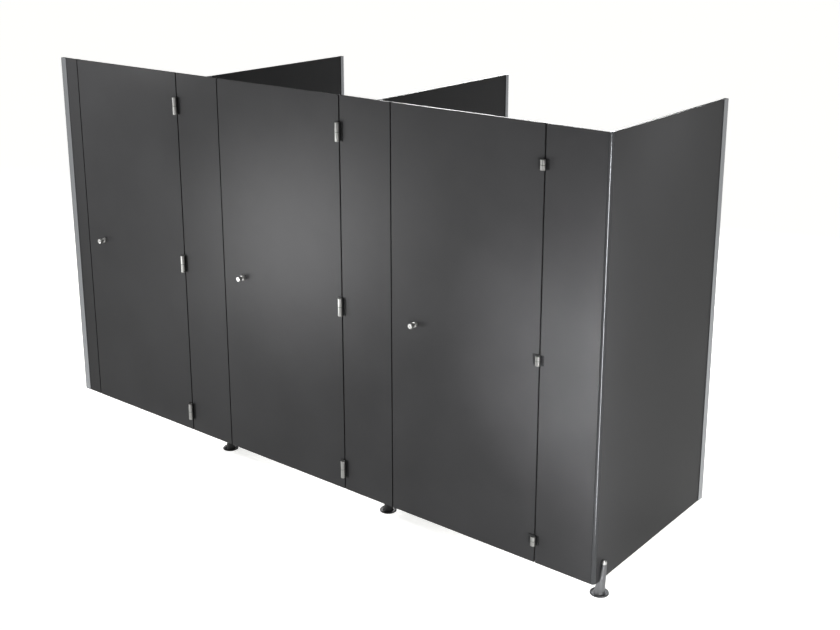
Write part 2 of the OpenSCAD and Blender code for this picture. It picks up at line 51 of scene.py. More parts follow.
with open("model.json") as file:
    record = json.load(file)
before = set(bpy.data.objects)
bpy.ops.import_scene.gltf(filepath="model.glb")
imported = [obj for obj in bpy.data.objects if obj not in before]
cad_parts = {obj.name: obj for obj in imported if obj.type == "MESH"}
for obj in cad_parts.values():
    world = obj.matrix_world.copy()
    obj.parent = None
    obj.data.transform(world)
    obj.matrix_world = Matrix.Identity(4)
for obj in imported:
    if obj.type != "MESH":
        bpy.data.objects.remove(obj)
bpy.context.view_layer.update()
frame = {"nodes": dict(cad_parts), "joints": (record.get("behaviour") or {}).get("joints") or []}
MM = 0.001
# The three cubicles, counted from the wall on the left
BAYS = (1, 2, 3)
# Points closer than this are merged, and a pole's radius is far below it
MERGE, POLE = 2e-6, 1e-9
# Nearly all of a noise texture's values lie between these two
NOISE_LOW, NOISE_HIGH = 0.3, 0.7


def box(node):
    """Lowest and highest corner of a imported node, as arrays."""
    low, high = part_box(node)
    return np.array(low, float), np.array(high, float)


# The front of the boards, looking towards -Y, and the height of their lower edge
FRONT = box("door_panel_1")[0][1]
BOARD_BOTTOM = box("door_panel_1")[0][2]
HINGES = {joint["name"]: np.array(joint["pos_m"], float) for joint in frame["joints"]}


# ---------------------------------------------------------------- colours and materials


def linear(colour):
    """Turns an sRGB hex colour such as "#3d3e40" into the linear values that shaders take."""
    code = colour.lstrip("#")
    part = np.array([int(code[i:i + 2], 16) for i in (0, 2, 4)]) / 255.0
    part = np.where(part <= 0.04045, part / 12.92, ((part + 0.055) / 1.055) ** 2.4)
    return (*[float(p) for p in part], 1.0)


def add(tree, kind, settings=None, links=None):
    """Adds a node, sets its properties and sockets, and links its sockets to given outputs."""
    made = tree.nodes.new(kind)
    for key, value in (settings or {}).items():
        if isinstance(key, str) and hasattr(made, key):
            setattr(made, key, value)
        else:
            made.inputs[key].default_value = value
    for key, source in (links or {}).items():
        tree.links.new(source, made.inputs[key])
    return made


def start(name):
    """Makes an empty node material with its output, principled shader and object coordinates."""
    material = bpy.data.materials.new(name)
    material.use_nodes = True
    tree = material.node_tree
    tree.nodes.clear()
    shader = add(tree, "ShaderNodeBsdfPrincipled")
    add(tree, "ShaderNodeOutputMaterial", None, {"Surface": shader.outputs["BSDF"]})
    place = add(tree, "ShaderNodeTexCoord")
    return material, tree, shader, place


def pressed_laminate(name, settings, face_axis):
    """Compact laminate, pressed from resin-soaked paper between fine matt plates.

    Its faces are an even anthracite with a fine grain that spreads a highlight into a soft glow.
    Its sawn edges show the black core. face_axis is 0 or 1, the axis that the faces look along.
    """
    material, tree, shader, place = start(name)
    normal = add(tree, "ShaderNodeSeparateXYZ", None, {0: place.outputs["Normal"]})
    facing = add(tree, "ShaderNodeMath", {"operation": "ABSOLUTE"}, {0: normal.outputs[face_axis]})
    is_face = add(tree, "ShaderNodeMath", {"operation": "GREATER_THAN", 1: 0.9},
                  {0: facing.outputs[0]})
    # The decor paper clouds over 350 mm, and wiped zones turn the gloss up and down by 0.03
    clouding, wiped = 0.35, 0.03
    cloud = add(tree, "ShaderNodeTexNoise",
                {"Scale": 1 / clouding, "Detail": 3.0, "Roughness": 0.55},
                {"Vector": place.outputs["Object"]})
    shade = add(tree, "ShaderNodeMapRange",
                {"From Min": NOISE_LOW, "From Max": NOISE_HIGH, "To Min": 0.9, "To Max": 1.1},
                {"Value": cloud.outputs["Fac"]})
    # Sockets 6 and 7 of a Mix node are its two colours, and output 2 is the mixed one
    tone = add(tree, "ShaderNodeMix", {"data_type": "RGBA", "blend_type": "MULTIPLY", "Factor": 1.0,
                                       6: linear(settings.face_colour)}, {7: shade.outputs[0]})
    edge = add(tree, "ShaderNodeMix", {"data_type": "RGBA", 6: linear(settings.core_colour)},
               {"Factor": is_face.outputs[0], 7: tone.outputs[2]})
    # Fine grain of the press plate. The real grain is 0.3 mm, drawn here at 2 mm so that it shows
    grain = add(tree, "ShaderNodeTexNoise", {"Scale": 1 / settings.grain, "Detail": 2.0},
                {"Vector": place.outputs["Object"]})
    bump = add(tree, "ShaderNodeBump", {"Strength": 0.12, "Distance": 0.3 * MM},
               {"Height": grain.outputs["Fac"]})
    gloss = add(tree, "ShaderNodeMapRange",
                {"From Min": NOISE_LOW, "From Max": NOISE_HIGH,
                 "To Min": settings.roughness - wiped, "To Max": settings.roughness + wiped},
                {"Value": cloud.outputs["Fac"]})
    shader.inputs["Specular IOR Level"].default_value = settings.sheen
    for key, source in (("Base Color", edge.outputs[2]), ("Roughness", gloss.outputs[0]),
                        ("Normal", bump.outputs[0])):
        tree.links.new(source, shader.inputs[key])
    return material


def streaked_metal(name, colour, roughness, streak, along, spread, stretch=60, relief=0.15):
    """Bare metal with the fine streaks of its making, which draw a highlight out across them.

    Extruded aluminium has them along its length, and brushed, cast or turned metal round it.
    streak is their width as drawn, 0.4 to 1 mm, where real ones are 0.1 mm and wouldn't show.
    along lists the axes that they run along, stretch says how many widths long they are, spread
    how far they turn the roughness up and down, and relief how strong their bump is.
    """
    material, tree, shader, place = start(name)
    squeeze = [1.0 / streak] * 3
    for axis in along:
        squeeze[axis] = 1.0 / (streak * stretch)
    lay = add(tree, "ShaderNodeMapping", {"Scale": squeeze}, {"Vector": place.outputs["Object"]})
    lines = add(tree, "ShaderNodeTexNoise", {"Scale": 1.0, "Detail": 3.0, "Roughness": 0.6},
                {"Vector": lay.outputs[0]})
    gloss = add(tree, "ShaderNodeMapRange",
                {"From Min": NOISE_LOW, "From Max": NOISE_HIGH,
                 "To Min": roughness - spread, "To Max": roughness + spread},
                {"Value": lines.outputs["Fac"]})
    bump = add(tree, "ShaderNodeBump", {"Strength": relief, "Distance": 0.1 * MM},
               {"Height": lines.outputs["Fac"]})
    shader.inputs["Base Color"].default_value = linear(colour)
    shader.inputs["Metallic"].default_value = 1.0
    tree.links.new(gloss.outputs[0], shader.inputs["Roughness"])
    tree.links.new(bump.outputs[0], shader.inputs["Normal"])
    return material


def satin_aluminium(name, colour, roughness):
    """Extruded aluminium, anodised to a satin: an even grey with faint lines along its length."""
    return streaked_metal(name, colour, roughness, 1.0 * MM, (2,), 0.025, stretch=900, relief=0.05)


def turned_stainless(settings, name, axis, colour=None):
    """Stainless steel turned or brushed round an axis: bright, with rings that widen its shine."""
    around = tuple(k for k in range(3) if k != axis)
    return streaked_metal(name, colour or settings.stainless, settings.fitting_roughness,
                          0.4 * MM, around, 0.06)


def moulded_plastic(name, colour, roughness, grit):
    """Moulded polyamide or rubber with the fine eroded grain of its mould, which dulls highlights.

    grit is the grain's width as drawn, 1 to 2 mm. The real grain is 0.1 mm and wouldn't show.
    """
    spread = 0.06
    material, tree, shader, place = start(name)
    grain = add(tree, "ShaderNodeTexNoise", {"Scale": 1 / grit, "Detail": 2.0},
                {"Vector": place.outputs["Object"]})
    gloss = add(tree, "ShaderNodeMapRange",
                {"From Min": NOISE_LOW, "From Max": NOISE_HIGH,
                 "To Min": roughness - spread, "To Max": roughness + spread},
                {"Value": grain.outputs["Fac"]})
    bump = add(tree, "ShaderNodeBump", {"Strength": 0.2, "Distance": 0.2 * MM},
               {"Height": grain.outputs["Fac"]})
    shader.inputs["Base Color"].default_value = linear(colour)
    shader.inputs["Specular IOR Level"].default_value = 0.2
    tree.links.new(gloss.outputs[0], shader.inputs["Roughness"])
    tree.links.new(bump.outputs[0], shader.inputs["Normal"])
    return material


def matt_studio_paint(name, colour, glow):
    """Matt studio paint, lit from behind: an even white that takes only the faintest shadows.

    Roller marks half a metre across turn its roughness up and down by a hundredth.
    """
    material, tree, shader, place = start(name)
    marks = add(tree, "ShaderNodeTexNoise", {"Scale": 1 / 0.5, "Detail": 2.0},
                {"Vector": place.outputs["Object"]})
    gloss = add(tree, "ShaderNodeMapRange", {"To Min": 0.84, "To Max": 0.86},
                {"Value": marks.outputs["Fac"]})
    tree.links.new(gloss.outputs[0], shader.inputs["Roughness"])
    shader.inputs["Base Color"].default_value = linear(colour)
    shader.inputs["Emission Color"].default_value = linear(colour)
    shader.inputs["Emission Strength"].default_value = glow
    return material


def finish(nodes, material):
    """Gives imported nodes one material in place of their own."""
    for name in nodes:
        slots = frame["nodes"][name].material_slots
        if len(slots) == 0:
            raise RuntimeError("node without a material slot: " + name)
        for slot in slots:
            slot.material = material


# ---------------------------------------------------------------- surfaces


def surface(name, grids, material, body, smooth=32.0):
    """Makes one piece from grids of points, each an array of rows by columns by three.

    Every cell of a grid becomes a face. Points that meet are merged, which closes seams and poles,
    and the faces are turned outwards. Edges sharper than the smoothing angle stay sharp.
    """
    points, faces, count = [], [], 0
    for grid in grids:
        rows, columns = grid.shape[:2]
        index = count + np.arange(rows * columns).reshape(rows, columns)
        cells = np.stack([index[:-1, :-1], index[:-1, 1:], index[1:, 1:], index[1:, :-1]], -1)
        faces.append(cells.reshape(-1, 4))
        points.append(grid.reshape(-1, 3))
        count += rows * columns
    mesh = bpy.data.meshes.new(name)
    mesh.from_pydata(np.concatenate(points).tolist(), [], np.concatenate(faces).tolist())
    shape = bmesh.new()
    shape.from_mesh(mesh)
    bmesh.ops.remove_doubles(shape, verts=shape.verts, dist=MERGE)
    bmesh.ops.recalc_face_normals(shape, faces=shape.faces)
    shape.to_mesh(mesh)
    shape.free()
    mesh.polygons.foreach_set("use_smooth", np.ones(len(mesh.polygons), bool))
    mesh.set_sharp_from_angle(angle=math.radians(smooth))
    mesh.materials.append(material)
    piece = bpy.data.objects.new(name, mesh)
    bpy.context.scene.collection.objects.link(piece)
    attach(piece, body)
    return piece


def turned(profile, centre, axis, segments):
    """A profile of radius and height turned once round an axis through centre.

    At angle a the point is centre + radius * (cos a, sin a) across the axis + height along it.
    axis is 2 for an upright piece, or 1 for one that looks out of the front, towards -Y.
    """
    profile = np.asarray(profile, float)
    angle = np.linspace(0, 2 * np.pi, segments + 1)
    radius, height = profile[:, :1], profile[:, 1:]
    across, beside = radius * np.cos(angle), radius * np.sin(angle)
    along = height + 0 * angle
    parts = (across, beside, along) if axis == 2 else (across, -along, beside)
    return np.stack(parts, -1) + np.asarray(centre, float)


def arc(centre, radius, first, last, steps=6):
    """Points of a circular arc in a profile, from one angle to another in degrees."""
    angle = np.radians(np.linspace(first, last, steps))
    return [(centre[0] + radius * math.cos(a), centre[1] + radius * math.sin(a)) for a in angle]


def closed(profile):
    """A profile that ends where it starts, for a hollow turned piece."""
    return list(profile) + [profile[0]]


# ---------------------------------------------------------------- settings


class LaminateSettings(bpy.types.PropertyGroup):
    """Boards."""

    face_colour: StringProperty(
        name="Face colour", description="sRGB hex colour of the faces", default="#303031")
    core_colour: StringProperty(
        name="Core colour", description="sRGB hex colour of the sawn edges", default="#141415")
    roughness: FloatProperty(
        name="Roughness", description="Mean roughness of the faces", default=0.42, min=0.0, max=1.0,
        subtype="FACTOR")
    sheen: FloatProperty(
        name="Reflectivity", description="Specular level of the faces", default=0.08, min=0.0,
        max=1.0, subtype="FACTOR")
    grain: FloatProperty(
        name="Grain", description="Width of the press plate's grain as drawn", default=2 * MM,
        min=0.1 * MM, max=20 * MM, unit="LENGTH")


class MetalSettings(bpy.types.PropertyGroup):
    """Aluminium profiles and stainless fittings."""

    aluminium: StringProperty(
        name="Aluminium", description="sRGB hex colour of the channels", default="#86888b")
    # The corner profile is the same aluminium as the channels; its darker grey is a painted dark
    # reflection of the surroundings
    corner: StringProperty(
        name="Corner aluminium", description="sRGB hex colour of the corner profile",
        default="#4a4b4d")
    stainless: StringProperty(
        name="Stainless steel", description="sRGB hex colour of the fittings", default="#949492")
    # The knobs are the same stainless as the fittings; their lighter grey is painted light that
    # keeps their faces bright
    knob: StringProperty(
        name="Knob steel", description="sRGB hex colour of the knobs", default="#c0c0be")
    cast: StringProperty(
        name="Cast metal", description="sRGB hex colour of the corner foot", default="#727375")
    # The base is the post's cast zinc; its darker grey is painted shade that keeps the overhead
    # light off its top
    base: StringProperty(
        name="Foot base", description="sRGB hex colour of the corner foot's base",
        default="#4e4f51")
    polished: StringProperty(
        name="Polished cap", description="sRGB hex colour of the corner foot's cap",
        default="#c4c4c2")
    screws: StringProperty(
        name="Screw steel", description="sRGB hex colour of the hinges' screws", default="#3a3a3b")
    profile_roughness: FloatProperty(
        name="Profile roughness", description="Roughness of the profiles", default=0.3, min=0.0,
        max=1.0, subtype="FACTOR")
    corner_roughness: FloatProperty(
        name="Corner roughness", description="Roughness of the corner profile", default=0.22,
        min=0.0, max=1.0, subtype="FACTOR")
    fitting_roughness: FloatProperty(
        name="Fitting roughness", description="Roughness of the fittings", default=0.48, min=0.0,
        max=1.0, subtype="FACTOR")


class FittingSettings(bpy.types.PropertyGroup):
    """Knobs, barrels, turns and feet."""

    plastic: StringProperty(
        name="Polyamide", description="sRGB hex colour of the black pieces", default="#161617")
    rubber: StringProperty(
        name="Rubber", description="sRGB hex colour of the door stops", default="#121212")
    segments: IntProperty(
        name="Segments", description="Faces round a turned piece", default=64, min=16, max=128)
    knob_edge: FloatProperty(
        name="Knob edge", description="Radius of the knob's rounded front edge", default=3.5 * MM,
        min=1 * MM, max=6 * MM, unit="LENGTH")
    barrel_edge: FloatProperty(
        name="Barrel edge", description="Radius of the barrel's rounded end", default=1.3 * MM,
        min=0.3 * MM, max=3 * MM, unit="LENGTH")
    post_flare: FloatProperty(
        name="Post flare", description="How far a foot's post flares out at its base",
        default=3 * MM, min=0.0, max=6 * MM, unit="LENGTH")


class StageSettings(bpy.types.PropertyGroup):
    """Floor, lights and camera."""

    floor_colour: StringProperty(
        name="Floor", description="sRGB hex colour of the floor", default="#f4f4f2")
    floor_glow: FloatProperty(
        name="Floor glow", description="Light that the lit floor gives off", default=0.58)
    wall_glow: FloatProperty(
        name="Backdrop glow", description="Light that the backdrop shows the camera", default=1.1)
    world_strength: FloatProperty(
        name="Surroundings", description="Brightness of the surroundings", default=0.17)
    ceiling_power: FloatProperty(
        name="Ceiling", description="Strength of the wide light overhead", default=1.2)
    middle_power: FloatProperty(
        name="Middle glow", description="Power of the soft light that door 2 reflects",
        default=20.0, unit="POWER")
    spot_power: FloatProperty(
        name="Door 2 spot", description="Power of the narrow light on door 2", default=2.8,
        unit="POWER")
    left_power: FloatProperty(
        name="Left lamp", description="Power of the lamp before the left top", default=7.0,
        unit="POWER")
    right_power: FloatProperty(
        name="Right lamp", description="Power of the lamp before door 3's hinges", default=25.0,
        unit="POWER")
    corner_power: FloatProperty(
        name="Corner spot", description="Power of the narrow light on the last front panel",
        default=5.3, unit="POWER")
    edge_power: FloatProperty(
        name="Edge light", description="Power of the tall narrow light beside the corner",
        default=4.2, unit="POWER")
    side_power: FloatProperty(
        name="Side spot", description="Power of the narrow light on the end panel's top",
        default=2.0, unit="POWER")
    back_power: FloatProperty(
        name="Back fill", description="Power of the wide light behind the row", default=320.0,
        unit="POWER")
    camera_place: FloatVectorProperty(
        name="Camera", description="Where the camera stands", size=3,
        default=(4.0163, -4.554, 2.895), subtype="XYZ", unit="LENGTH")
    camera_turn: FloatProperty(
        name="Turn", description="Camera's turn to the left of straight ahead",
        default=math.radians(38.58), subtype="ANGLE")
    camera_tilt: FloatProperty(
        name="Tilt", description="Camera's tilt below the horizon", default=math.radians(15.49),
        subtype="ANGLE")
    lens: FloatProperty(name="Lens", description="Focal length in millimetres", default=53.203)
    rise: FloatProperty(name="Lens shift", description="Upward shift of the picture", default=-0.1)


class CubicleSettings(bpy.types.PropertyGroup):
    """All settings of the row."""

    laminate: PointerProperty(type=LaminateSettings)
    metal: PointerProperty(type=MetalSettings)
    fittings: PointerProperty(type=FittingSettings)
    stage: PointerProperty(type=StageSettings)


# ---------------------------------------------------------------- operators


class CUBICLE_OT_boards(bpy.types.Operator):
    """Finish the laminate boards."""

    bl_idname = "cubicle.boards"
    bl_label = "Finish the boards"

    def execute(self, context):
        settings = context.scene.cubicle.laminate
        front = ["%s_%d" % (kind, i) for i in BAYS for kind in ("door_panel", "pilaster")]
        finish(["filler_panel"] + front, pressed_laminate("pressed_laminate_front", settings, 1))
        finish(["partition_1", "partition_2", "end_panel"],
               pressed_laminate("pressed_laminate_side", settings, 0))
        return {"FINISHED"}


class CUBICLE_OT_profiles(bpy.types.Operator):
    """Finish the aluminium channels and the corner profile."""

    bl_idname = "cubicle.profiles"
    bl_label = "Finish the profiles"

    def execute(self, context):
        settings = context.scene.cubicle.metal
        channels = ["partition_%s_channel_%d" % (side, i)
                    for side in ("wall", "front") for i in (1, 2)]
        finish(["wall_channel_left", "end_wall_channel"] + channels,
               satin_aluminium("extruded_satin_channel", settings.aluminium,
                               settings.profile_roughness))
        # The corner takes a darker copy of the channels' aluminium: the darker grey is a painted
        # dark reflection
        finish(["corner_profile"],
               satin_aluminium("satin_corner_painted_dark_reflection", settings.corner, settings.corner_roughness))
        return {"FINISHED"}


class CUBICLE_OT_small_parts(bpy.types.Operator):
    """Finish the hinge leaves, washers, stops, screws and latch plates."""

    bl_idname = "cubicle.small_parts"
    bl_label = "Finish the small parts"

    def execute(self, context):
        settings = context.scene.cubicle
        black = moulded_plastic("moulded_black_polyamide", settings.fittings.plastic, 0.5, 1.2 * MM)
        finish(["hinge_frame_leaves", "hinge_washers"]
               + ["hinge_door_leaves_%d" % i for i in BAYS], black)
        # Blackened steel, turned: nearly black, with a faint ring of light on each head
        finish(["frame_hinge_screws"] + ["door_hinge_screws_%d" % i for i in BAYS],
               streaked_metal("blackened_screw_steel", settings.metal.screws, 0.4,
                              0.5 * MM, (0, 2), 0.06))
        finish(["door_stop_%d" % i for i in BAYS],
               moulded_plastic("extruded_black_rubber", settings.fittings.rubber, 0.7, 2 * MM))
        steel = turned_stainless(settings.metal, "brushed_stainless_plate", 2)
        finish(["latch_keepers", "channel_screws", "hinge_pins", "foot_stems", "foot_clamp_screws"]
               + ["latch_bar_%d" % i for i in BAYS] + ["latch_spindle_%d" % i for i in BAYS], steel)
        return {"FINISHED"}


class CUBICLE_OT_knobs(bpy.types.Operator):
    """Make the turned pull knobs on the doors."""

    bl_idname = "cubicle.knobs"
    bl_label = "Make the knobs"

    def execute(self, context):
        settings = context.scene.cubicle
        # The knobs take a lighter copy of the fittings' stainless: the lighter grey is painted
        # light on their faces
        steel = turned_stainless(settings.metal, "stainless_knob_painted_light", 1, settings.metal.knob)
        # Radii of the spindle's bore, shank, collar, neck and of the dished end
        bore, shank, collar, neck, dish = 4.3 * MM, 7 * MM, 12.5 * MM, 8.5 * MM, 9 * MM
        # Heights of the collar's top and the head's underside over the door, and the dish's depth
        ledge, throat, dip = 13 * MM, 26 * MM, 0.5 * MM
        # Radii of the head's front edge, of the collar's and neck's roundings, and of the others
        soft, wide, fine = settings.fittings.knob_edge, 2 * MM, 1.5 * MM
        for i in BAYS:
            low, high = box("pull_knob_%d" % i)
            x, z = (low[0] + high[0]) / 2, (low[2] + high[2]) / 2
            # Radius of the head, depth of the shank in the door and reach in front of it
            head, depth, reach = (high[0] - low[0]) / 2, high[1] - FRONT, FRONT - low[1]
            profile = closed(
                [(bore, -depth), (shank, -depth), (shank, 0), (collar, 0)]
                + arc((collar - wide, ledge - wide), wide, 0, 90)
                + arc((neck + fine, ledge + fine), fine, 270, 180, 5)
                + arc((neck + wide, throat - wide), wide, 180, 90, 5)
                + arc((head - fine, throat + fine), fine, -90, 0, 5)
                + arc((head - soft, reach - soft), soft, 0, 90, 8)
                + [(dish + 0.4 * MM, reach), (dish, reach - dip), (bore + dip, reach - dip),
                   (bore, reach - dip - 0.4 * MM)]
            )
            piece = surface("turned_knob_%d" % i,
                            [turned(profile, (x, FRONT, z), 1, settings.fittings.segments)],
                            steel, "door_%d" % i)
            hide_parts("pull_knob_%d" % i)
        return {"FINISHED"}


class CUBICLE_OT_barrels(bpy.types.Operator):
    """Make the bright sleeves of the hinge barrels."""

    bl_idname = "cubicle.barrels"
    bl_label = "Make the hinge barrels"

    def execute(self, context):
        settings = context.scene.cubicle
        steel = turned_stainless(settings.metal, "drawn_stainless_sleeve", 2)
        segments, soft = settings.fittings.segments, settings.fittings.barrel_edge
        # Sleeve's radius, wall, end cap and bevel, and half the gap between the two sleeves
        radius, wall, cap, bevel, gap = 11 * MM, 1 * MM, 1.5 * MM, 0.3 * MM, 1 * MM
        lower = []
        for i in BAYS:
            low, high = box("hinge_door_leaves_%d" % i)
            x, y = HINGES["door_hinge_%d" % i][:2]
            lowest = box("hinge_upper_sleeves_%d" % i)[0][2] - gap
            end = lowest - low[2]
            middles = (lowest, (low[2] + high[2]) / 2, high[2] - end)
            profile = np.array(closed(
                [(radius - wall, gap), (radius - bevel, gap), (radius, gap + bevel)]
                + arc((radius - soft, end - soft), soft, 0, 90)
                + [(POLE, end), (POLE, end - cap), (radius - wall, end - cap)]
            ))
            upper = [turned(profile, (x, y, z), 2, segments) for z in middles]
            lower += [turned(profile * (1, -1), (x, y, z), 2, segments) for z in middles]
            piece = surface("hinge_sleeves_upper_%d" % i, upper, steel, "door_%d" % i)
            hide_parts("hinge_upper_sleeves_%d" % i)
        piece = surface("hinge_sleeves_lower", lower, steel, "frame")
        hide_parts("hinge_lower_sleeves")
        return {"FINISHED"}


class CUBICLE_OT_feet(bpy.types.Operator):
    """Make the tapered posts and domed caps of the feet, and finish their bases."""

    bl_idname = "cubicle.feet"
    bl_label = "Make the feet"

    def execute(self, context):
        settings = context.scene.cubicle
        black = moulded_plastic("moulded_foot_polyamide", settings.fittings.plastic, 0.42, 1.0 * MM)
        # Cast zinc, streaked all round: a satin grey post, a rougher base and a bright polished cap
        streak, along = 0.8 * MM, (0, 1)
        cast = streaked_metal("satin_cast_zinc", settings.metal.cast, 0.5, streak, along, 0.05)
        # The base is a darker copy of the post's cast zinc; the darker grey is painted shade
        base = streaked_metal("cast_zinc_base_painted_shade", settings.metal.base, 0.55,
                              streak, along, 0.05)
        polished = streaked_metal("polished_cast_zinc", settings.metal.polished, 0.3,
                                  streak, along, 0.04)
        for i in BAYS:
            corner = i == BAYS[-1]
            material, slot = (cast, "satin_stainless") if corner else (black, "black_polyamide")
            finish(["foot_base_%d" % i], base if corner else material)
            piece = surface("tapered_post_%d" % i, [self.post(i, settings.fittings)],
                            material, "frame")
            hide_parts("foot_post_%d" % i)
            low, high = box("foot_cap_%d" % i)
            centre = ((low[0] + high[0]) / 2, (low[1] + high[1]) / 2, low[2])
            # The cap's radius and height, and the radius of the groove between it and the post
            radius, top = (high[0] - low[0]) / 2, high[2] - low[2]
            inner = radius - 0.6 * MM
            profile = ([(POLE, 0), (inner, 0), (inner, 0.8 * MM), (radius, 1.2 * MM)]
                       + arc((0, top - radius), radius, 0, 90, 14))
            piece = surface("domed_cap_%d" % i,
                            [turned(profile, centre, 2, settings.fittings.segments)],
                            polished if corner else material, "frame")
            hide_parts("foot_cap_%d" % i)
        return {"FINISHED"}

    @staticmethod
    def post(i, settings):
        """A leaning taper: circles whose centre and radius change evenly with height.

        The lowest and the highest millimetre are upright. The lowest row lies a thousandth of a
        millimetre over the middle of the post's underside, which closes it.
        The radius gains flare * exp(-(height above the base) / fade). From the bottom edge of the
        board upwards, points inside the board are pushed out to its face, which leaves the ledge.
        """
        flare, fade, segments = settings.post_flare, 6 * MM, settings.segments
        base_low, base_high = box("foot_base_%d" % i)
        post_low, post_high = box("foot_post_%d" % i)
        x, y = (base_low[0] + base_high[0]) / 2, (base_low[1] + base_high[1]) / 2
        low_radius, top_radius = (post_high[1] - post_low[1]) / 2, 11 * MM
        lean = post_high[0] - x - top_radius
        foot, top = post_low[2], post_high[2]
        steps = (0.5, 1.5, 3, 5, 8, 12, 17, 24, 33, 44, 54)
        under = np.array([foot + 1e-6] + [foot + step * MM for step in steps] + [BOARD_BOTTOM])
        over = np.linspace(BOARD_BOTTOM, top, 12)
        height = np.concatenate([[foot], under, over, [top]])
        share = np.clip((height - foot - 1 * MM) / (top - foot - 2 * MM), 0, 1)
        taper = low_radius + (top_radius - low_radius) * share
        radius = taper + flare * np.exp(-(height - foot) / fade)
        radius[0] = radius[-1] = POLE
        centre = x + lean * share
        angle = np.linspace(0, 2 * np.pi, segments + 1)
        px = centre[:, None] + radius[:, None] * np.cos(angle)
        py = y + radius[:, None] * np.sin(angle)
        pz = height[:, None] + 0 * angle
        cut = (np.arange(len(height)) >= 1 + len(under))[:, None]
        board_face, clearance = 6.5 * MM, 0.3 * MM
        px = np.where(cut, np.maximum(px, x + board_face + clearance), px)
        return np.stack([px, py, pz], -1)


class CUBICLE_OT_turns(bpy.types.Operator):
    """Make the turns of the latches inside the doors."""

    bl_idname = "cubicle.turns"
    bl_label = "Make the inner turns"

    def execute(self, context):
        settings = context.scene.cubicle
        steel = turned_stainless(settings.metal, "turned_stainless_turn", 1)
        for i in BAYS:
            low, high = box("thumb_turn_%d" % i)
            x, z = (low[0] + high[0]) / 2, (low[2] + high[2]) / 2
            # A round plate with a rounded edge, and a flat grip 11 mm wide that stands on it
            radius, disc, soft = (high[0] - low[0]) / 2, 6 * MM, 1.5 * MM
            profile = [(POLE, 0), (radius, 0)] + arc((radius - soft, -disc + soft), soft, 0, -90)
            plate = turned(profile + [(POLE, -disc)], (x, low[1], z), 1, settings.fittings.segments)
            grip = self.grip((x, low[1] + disc, z), 5.5 * MM, radius - 1 * MM,
                             high[1] - low[1] - disc)
            piece = surface("inner_turn_%d" % i, [plate, grip], steel, "latch_%d" % i)
            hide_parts("thumb_turn_%d" % i)
        return {"FINISHED"}

    @staticmethod
    def grip(root, half_width, half_height, depth):
        """A flat grip: superellipses |x|^4 + |z|^4 = 1 that shrink along a quarter circle.

        It starts half a millimetre inside the plate, and its outer end closes in a flat line.
        """
        angle = np.linspace(0, 2 * np.pi, 48 + 1)
        across = np.sign(np.cos(angle)) * np.abs(np.cos(angle)) ** 0.5
        upright = np.sign(np.sin(angle)) * np.abs(np.sin(angle)) ** 0.5
        soft, sunk = 2.2 * MM, 0.5 * MM
        turn = np.radians(np.linspace(0, 90, 7))
        along = np.concatenate([[-sunk], depth - soft + soft * np.sin(turn), [depth]])
        inset = np.concatenate([[0], soft - soft * np.cos(turn), [half_width]])
        width = np.maximum(half_width - inset, POLE)[:, None] * across
        tall = np.maximum(half_height - inset, 0)[:, None] * upright
        return np.stack([root[0] + width, root[1] + along[:, None] + 0 * angle, root[2] + tall], -1)


